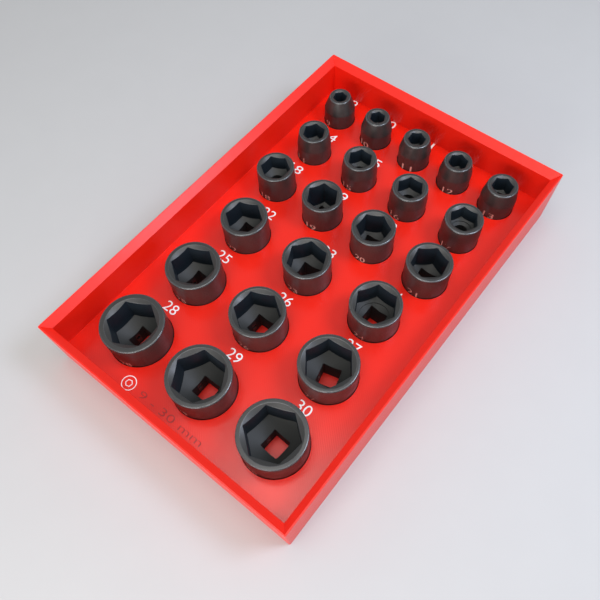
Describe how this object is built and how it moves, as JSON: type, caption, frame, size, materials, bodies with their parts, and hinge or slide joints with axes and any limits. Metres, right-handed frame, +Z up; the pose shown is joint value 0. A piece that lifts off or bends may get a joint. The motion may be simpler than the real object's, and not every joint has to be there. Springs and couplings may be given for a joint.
{
  "type": "socket organizer tray",
  "caption": "Printed rectangular drawer tray with a sloped rim, numbered deck and round pockets that hold a set of short hex impact sockets, each free to lift out",
  "frame": {"origin": "middle of the tray's underside", "axes": "+X along the front edge to the right, +Y from the front edge to the rear, +Z up out of the tray"},
  "size_m": [0.195, 0.295, 0.0445],
  "materials": {
    "tray_plastic": "glossy red printed plastic with fine layer lines on the walls and a smoothed deck",
    "socket_steel": "black manganese-phosphate coated chrome-molybdenum steel, satin, lighter on worn edges",
    "label_white": "white printed inlay flush with the deck"
  },
  "bodies": {
    "tray": {"tray": "tray_plastic"},
    "socket_09": {"socket_09": "socket_steel"},
    "socket_10": {"socket_10": "socket_steel"},
    "socket_11": {"socket_11": "socket_steel"},
    "socket_12": {"socket_12": "socket_steel"},
    "socket_13": {"socket_13": "socket_steel"},
    "socket_14": {"socket_14": "socket_steel"},
    "socket_15": {"socket_15": "socket_steel"},
    "socket_16": {"socket_16": "socket_steel"},
    "socket_17": {"socket_17": "socket_steel"},
    "socket_18": {"socket_18": "socket_steel"},
    "socket_19": {"socket_19": "socket_steel"},
    "socket_20": {"socket_20": "socket_steel"},
    "socket_21": {"socket_21": "socket_steel"},
    "socket_22": {"socket_22": "socket_steel"},
    "socket_23": {"socket_23": "socket_steel"},
    "socket_24": {"socket_24": "socket_steel"},
    "socket_25": {"socket_25": "socket_steel"},
    "socket_26": {"socket_26": "socket_steel"},
    "socket_27": {"socket_27": "socket_steel"},
    "socket_28": {"socket_28": "socket_steel"},
    "socket_29": {"socket_29": "socket_steel"},
    "socket_30": {"socket_30": "socket_steel"}
  },
  "joints": [
    {"name": "lift_09", "type": "slide", "parent": "tray", "child": "socket_09", "axis": [0, 0, 1], "range_m": [0, 0.05]},
    {"name": "lift_10", "type": "slide", "parent": "tray", "child": "socket_10", "axis": [0, 0, 1], "range_m": [0, 0.05]},
    {"name": "lift_11", "type": "slide", "parent": "tray", "child": "socket_11", "axis": [0, 0, 1], "range_m": [0, 0.05]},
    {"name": "lift_12", "type": "slide", "parent": "tray", "child": "socket_12", "axis": [0, 0, 1], "range_m": [0, 0.05]},
    {"name": "lift_13", "type": "slide", "parent": "tray", "child": "socket_13", "axis": [0, 0, 1], "range_m": [0, 0.05]},
    {"name": "lift_14", "type": "slide", "parent": "tray", "child": "socket_14", "axis": [0, 0, 1], "range_m": [0, 0.05]},
    {"name": "lift_15", "type": "slide", "parent": "tray", "child": "socket_15", "axis": [0, 0, 1], "range_m": [0, 0.05]},
    {"name": "lift_16", "type": "slide", "parent": "tray", "child": "socket_16", "axis": [0, 0, 1], "range_m": [0, 0.05]},
    {"name": "lift_17", "type": "slide", "parent": "tray", "child": "socket_17", "axis": [0, 0, 1], "range_m": [0, 0.05]},
    {"name": "lift_18", "type": "slide", "parent": "tray", "child": "socket_18", "axis": [0, 0, 1], "range_m": [0, 0.05]},
    {"name": "lift_19", "type": "slide", "parent": "tray", "child": "socket_19", "axis": [0, 0, 1], "range_m": [0, 0.05]},
    {"name": "lift_20", "type": "slide", "parent": "tray", "child": "socket_20", "axis": [0, 0, 1], "range_m": [0, 0.05]},
    {"name": "lift_21", "type": "slide", "parent": "tray", "child": "socket_21", "axis": [0, 0, 1], "range_m": [0, 0.05]},
    {"name": "lift_22", "type": "slide", "parent": "tray", "child": "socket_22", "axis": [0, 0, 1], "range_m": [0, 0.05]},
    {"name": "lift_23", "type": "slide", "parent": "tray", "child": "socket_23", "axis": [0, 0, 1], "range_m": [0, 0.05]},
    {"name": "lift_24", "type": "slide", "parent": "tray", "child": "socket_24", "axis": [0, 0, 1], "range_m": [0, 0.05]},
    {"name": "lift_25", "type": "slide", "parent": "tray", "child": "socket_25", "axis": [0, 0, 1], "range_m": [0, 0.05]},
    {"name": "lift_26", "type": "slide", "parent": "tray", "child": "socket_26", "axis": [0, 0, 1], "range_m": [0, 0.05]},
    {"name": "lift_27", "type": "slide", "parent": "tray", "child": "socket_27", "axis": [0, 0, 1], "range_m": [0, 0.05]},
    {"name": "lift_28", "type": "slide", "parent": "tray", "child": "socket_28", "axis": [0, 0, 1], "range_m": [0, 0.05]},
    {"name": "lift_29", "type": "slide", "parent": "tray", "child": "socket_29", "axis": [0, 0, 1], "range_m": [0, 0.05]},
    {"name": "lift_30", "type": "slide", "parent": "tray", "child": "socket_30", "axis": [0, 0, 1], "range_m": [0, 0.05]}
  ]
}
